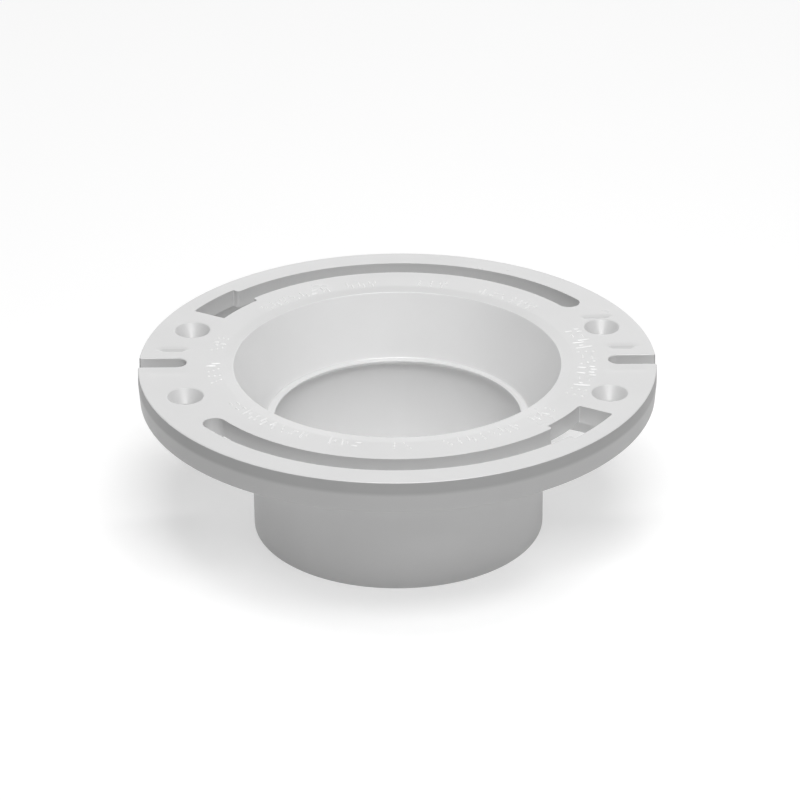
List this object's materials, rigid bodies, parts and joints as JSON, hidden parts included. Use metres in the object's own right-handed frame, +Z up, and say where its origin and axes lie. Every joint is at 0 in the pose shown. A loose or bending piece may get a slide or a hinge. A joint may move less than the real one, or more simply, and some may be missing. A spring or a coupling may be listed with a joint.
{
  "type": "toilet flange",
  "caption": "Round plastic toilet floor flange: slotted ring with a rim, tapered throat with a pipe stop, and a socket hub below for the drain pipe.",
  "frame": {"origin": "centre of the hub's bottom face, which the flange stands on", "axes": "+Z up the bore to the ring's top face; the long bolt slots lie towards +Y and -Y, and the open bolt slots towards +X and -X"},
  "size_m": [0.1776, 0.1778, 0.0613],
  "materials": {
    "white_pvc": "satin, as moulded"
  },
  "bodies": {
    "root": {"flange_plate": "white_pvc", "bowl_funnel": "white_pvc", "pipe_stop_lip": "white_pvc", "hub_socket": "white_pvc", "rim_skirt_front": "white_pvc", "rim_skirt_back": "white_pvc", "screw_boss_right_back": "white_pvc", "screw_boss_right_front": "white_pvc", "screw_boss_left_back": "white_pvc", "screw_boss_left_front": "white_pvc", "right_open_slot_rib_a": "white_pvc", "right_open_slot_rib_b": "white_pvc", "right_slot_end_rib": "white_pvc", "right_keyhole_rib": "white_pvc", "left_open_slot_rib_a": "white_pvc", "left_open_slot_rib_b": "white_pvc", "left_slot_end_rib": "white_pvc", "left_keyhole_rib": "white_pvc"}
  },
  "joints": []
}
